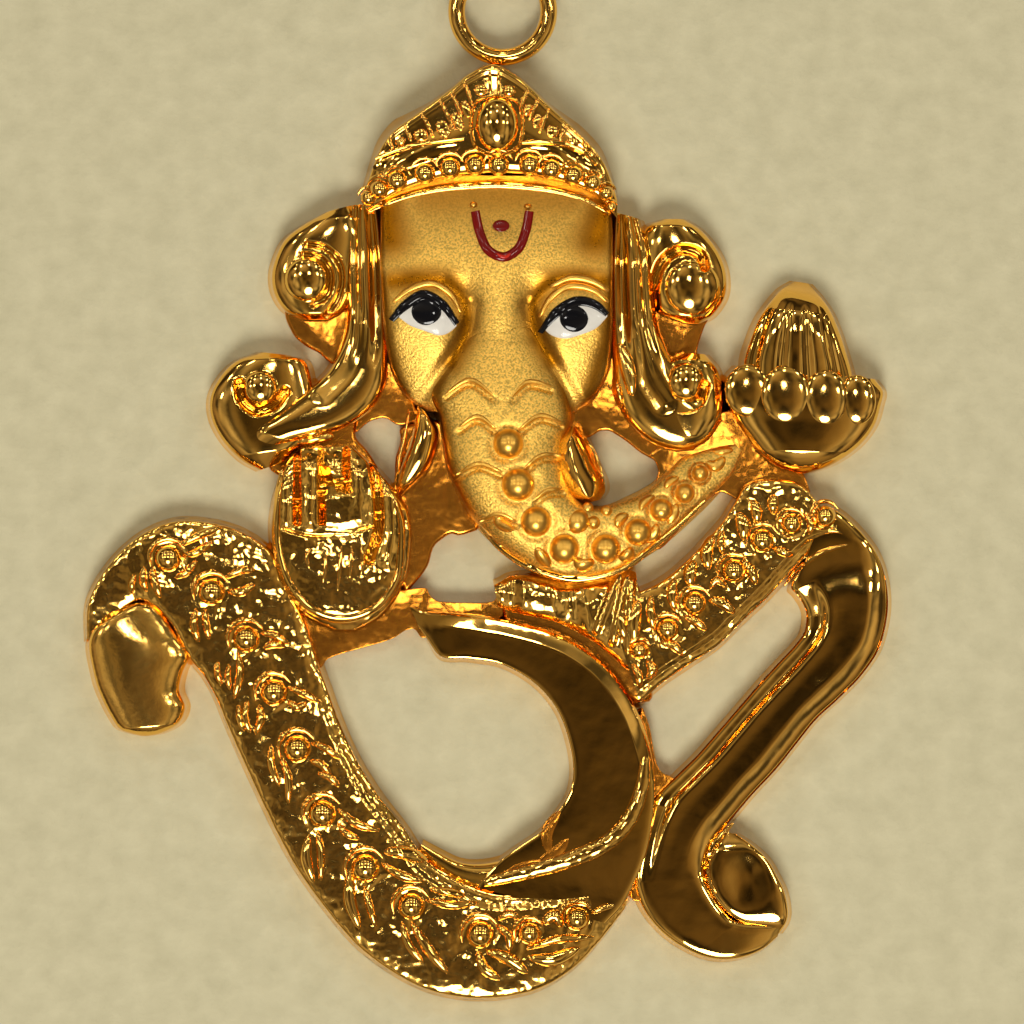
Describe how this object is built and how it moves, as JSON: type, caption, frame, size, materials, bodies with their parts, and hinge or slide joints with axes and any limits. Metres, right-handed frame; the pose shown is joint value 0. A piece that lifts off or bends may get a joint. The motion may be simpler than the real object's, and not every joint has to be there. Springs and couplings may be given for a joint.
{
  "type": "elephant-headed figure pendant",
  "caption": "Cast yellow gold openwork pendant: an elephant-headed figure with a flowing ribbon body, enamel eyes and forehead mark, and a soldered ring at the top.",
  "frame": {"origin": "the middle of the flat back, under the middle of the casting with its ring; it lies on metal", "axes": "+Y up the figure to the ring, +X to the right as the face is seen, +Z out of the face"},
  "size_m": [0.0342, 0.0442, 0.0038],
  "materials": {
    "polished_gold": "polished gold, with the face and trunk matt",
    "white_enamel": "glossy",
    "black_enamel": "glossy",
    "red_enamel": "glossy"
  },
  "bodies": {
    "root": {"cast_body": "polished_gold", "eye_white_left": "white_enamel", "eye_white_right": "white_enamel", "eye_black_left": "black_enamel", "eye_black_right": "black_enamel", "forehead_mark": "red_enamel", "forehead_dot": "red_enamel"}
  },
  "joints": []
}
